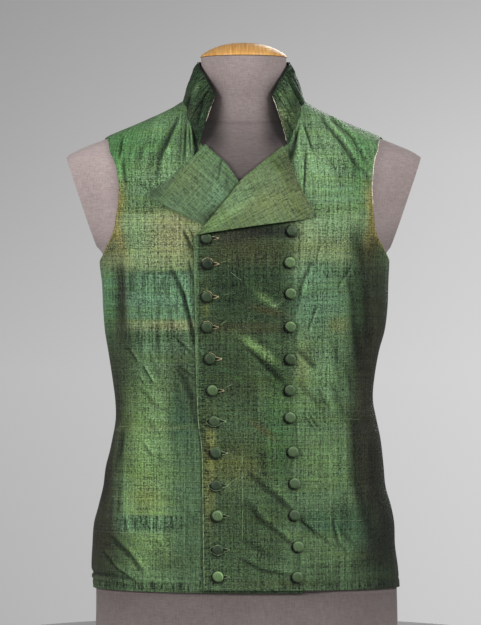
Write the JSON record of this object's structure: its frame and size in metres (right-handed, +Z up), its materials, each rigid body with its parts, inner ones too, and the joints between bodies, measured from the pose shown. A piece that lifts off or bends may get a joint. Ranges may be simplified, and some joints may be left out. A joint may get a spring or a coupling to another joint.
{
  "type": "double-breasted waistcoat on a limbless dress form",
  "caption": "Sleeveless double-breasted silk waistcoat with a standing collar and wide turned-back lapels, on a limbless dress form with a wooden neck cap",
  "frame": {"origin": "on the surface that the dress form stands on, below the middle of the part's bounding box", "axes": "+Z up; the front faces -Y; the wearer's left is +X"},
  "size_m": [0.4248, 0.2536, 0.7119],
  "materials": {
    "silk": "changeable green silk with slubs, softly shiny",
    "button_silk": "dark green silk over a hard core",
    "form_cloth": "grey-mauve knit drawn tight over the form, matt",
    "wood": "oiled light wood with a fine grain"
  },
  "bodies": {
    "root": {"front_left": "silk", "front_right": "silk", "lapel_left": "silk", "lapel_right": "silk", "collar": "silk", "back_left": "silk", "back_right": "silk", "button_right_01": "button_silk", "button_right_02": "button_silk", "button_right_03": "button_silk", "button_right_04": "button_silk", "button_right_05": "button_silk", "button_right_06": "button_silk", "button_right_07": "button_silk", "button_right_08": "button_silk", "button_right_09": "button_silk", "button_right_10": "button_silk", "button_right_11": "button_silk", "button_right_12": "button_silk", "button_left_01": "button_silk", "button_left_02": "button_silk", "button_left_03": "button_silk", "button_left_04": "button_silk", "button_left_05": "button_silk", "button_left_06": "button_silk", "button_left_07": "button_silk", "button_left_08": "button_silk", "button_left_09": "button_silk", "button_left_10": "button_silk", "button_left_11": "button_silk", "button_left_12": "button_silk", "form_body": "form_cloth", "form_cap": "wood"}
  },
  "joints": []
}
